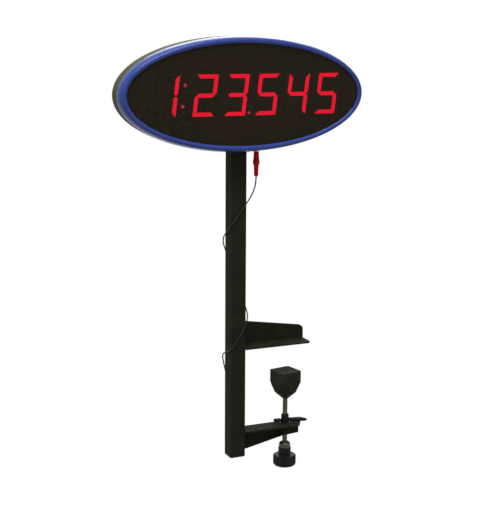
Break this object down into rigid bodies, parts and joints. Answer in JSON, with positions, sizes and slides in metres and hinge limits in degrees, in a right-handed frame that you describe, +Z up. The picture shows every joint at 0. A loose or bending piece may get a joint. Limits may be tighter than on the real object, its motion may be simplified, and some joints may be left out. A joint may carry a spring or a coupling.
{
  "type": "round timer",
  "caption": "Digital round timer: oval red-digit display head on a square post with a screw clamp for a table edge and a data lead wound round the post.",
  "frame": {"origin": "underside of the upper jaw, where the clamp meets the table, on the axis of the clamp screw", "axes": "+Z up along the post, +X along the display to the reader's right, +Y away from the reader"},
  "size_m": [0.395, 0.066, 0.6876],
  "materials": {
    "black_powder_coat": "satin black powder coat on steel",
    "black_moulding": "matt black moulding",
    "zinc_plate": "dull zinc plate",
    "lever_casting": "satin black casting",
    "pad_rubber": "matt black rubber",
    "blue_moulding": "satin blue moulding",
    "smoked_window": "smoked clear acrylic",
    "grey_moulding": "grey silver moulding",
    "module_black": "matt black face",
    "lit_red": "lit red segments",
    "circuit_board": "green solder mask",
    "brass": "turned brass",
    "ribbon_grey": "grey ribbon cable",
    "nickel": "nickel plate",
    "plug_red": "red moulding",
    "cord_black": "black flexible sheath"
  },
  "bodies": {
    "stand": {"post": "black_powder_coat", "post_foot_cap": "black_moulding", "post_top_cap": "black_moulding", "upper_jaw": "black_powder_coat", "lower_arm": "black_powder_coat", "arm_boss": "black_powder_coat", "cord_hook": "black_moulding", "cord_coil": "cord_black", "data_plug_pin": "nickel", "data_plug_barrel": "plug_red", "data_plug_grip": "plug_red", "data_plug_boot": "plug_red", "data_cord": "cord_black", "far_plug_pin": "nickel", "far_plug_barrel": "cord_black", "cord_tail": "cord_black"},
    "pad": {"pad_shoe": "black_moulding", "pad_face": "pad_rubber"},
    "screw": {"clamp_screw": "zinc_plate", "dome_collar": "zinc_plate", "clamp_knob": "black_moulding"},
    "lock_washer": {"lock_washer": "zinc_plate"},
    "lock_lever": {"lock_lever": "lever_casting"},
    "head": {"bezel": "blue_moulding", "window": "smoked_window", "chassis": "black_moulding", "rear_shell": "grey_moulding", "post_socket": "black_moulding", "housing_screws": "zinc_plate", "digit_module_1": "module_black", "digit_1_lit": "lit_red", "digit_module_2": "module_black", "digit_2_lit": "lit_red", "digit_module_3": "module_black", "digit_3_lit": "lit_red", "digit_module_4": "module_black", "digit_4_lit": "lit_red", "digit_module_5": "module_black", "digit_5_lit": "lit_red", "digit_module_6": "module_black", "digit_6_lit": "lit_red", "lit_dots": "lit_red", "display_board": "circuit_board", "board_pillars": "brass", "control_board": "circuit_board", "control_spacers": "brass", "ribbon_cable": "ribbon_grey", "buzzer": "black_moulding", "data_jack": "black_moulding", "jack_nut": "black_moulding", "power_jack": "black_moulding", "power_pin": "nickel", "switch_frame": "black_moulding", "button_housing": "black_moulding"},
    "power_rocker": {"switch_rocker": "black_moulding"},
    "button": {"push_button": "black_moulding"}
  },
  "joints": [
    {"name": "clamp_travel", "type": "slide", "parent": "stand", "child": "pad", "axis": [0, 0, 1], "range_m": [-0.0256, 0.0131]},
    {"name": "screw_turn", "type": "hinge", "parent": "pad", "child": "screw", "pos_m": [0, 0, -0.19], "axis": [0, 0, 1], "range_deg": [-7400, 3800]},
    {"name": "lock_lift", "type": "slide", "parent": "stand", "child": "lock_washer", "axis": [0, 0, 1], "range_m": [0, 0.0025]},
    {"name": "lever_turn", "type": "hinge", "parent": "lock_washer", "child": "lock_lever", "pos_m": [0, 0, -0.125], "axis": [0, 0, 1], "range_deg": [0, 724]},
    {"name": "head_lift", "type": "slide", "parent": "stand", "child": "head", "axis": [0, 0, 1], "range_m": [0, 0.09]},
    {"name": "power_rock", "type": "hinge", "parent": "head", "child": "power_rocker", "pos_m": [0.0195, 0.01675, 0.3673], "axis": [1, 0, 0], "range_deg": [-16, 0]},
    {"name": "button_press", "type": "slide", "parent": "head", "child": "button", "axis": [0, -1, 0], "range_m": [0, 0.0015], "stiffness_N_per_m": 300}
  ],
  "couplings": [
    {"joint": "screw_turn", "follows": "clamp_travel", "rad_per_m": 5026.5},
    {"joint": "lever_turn", "follows": "lock_lift", "rad_per_m": 5026.5}
  ]
}
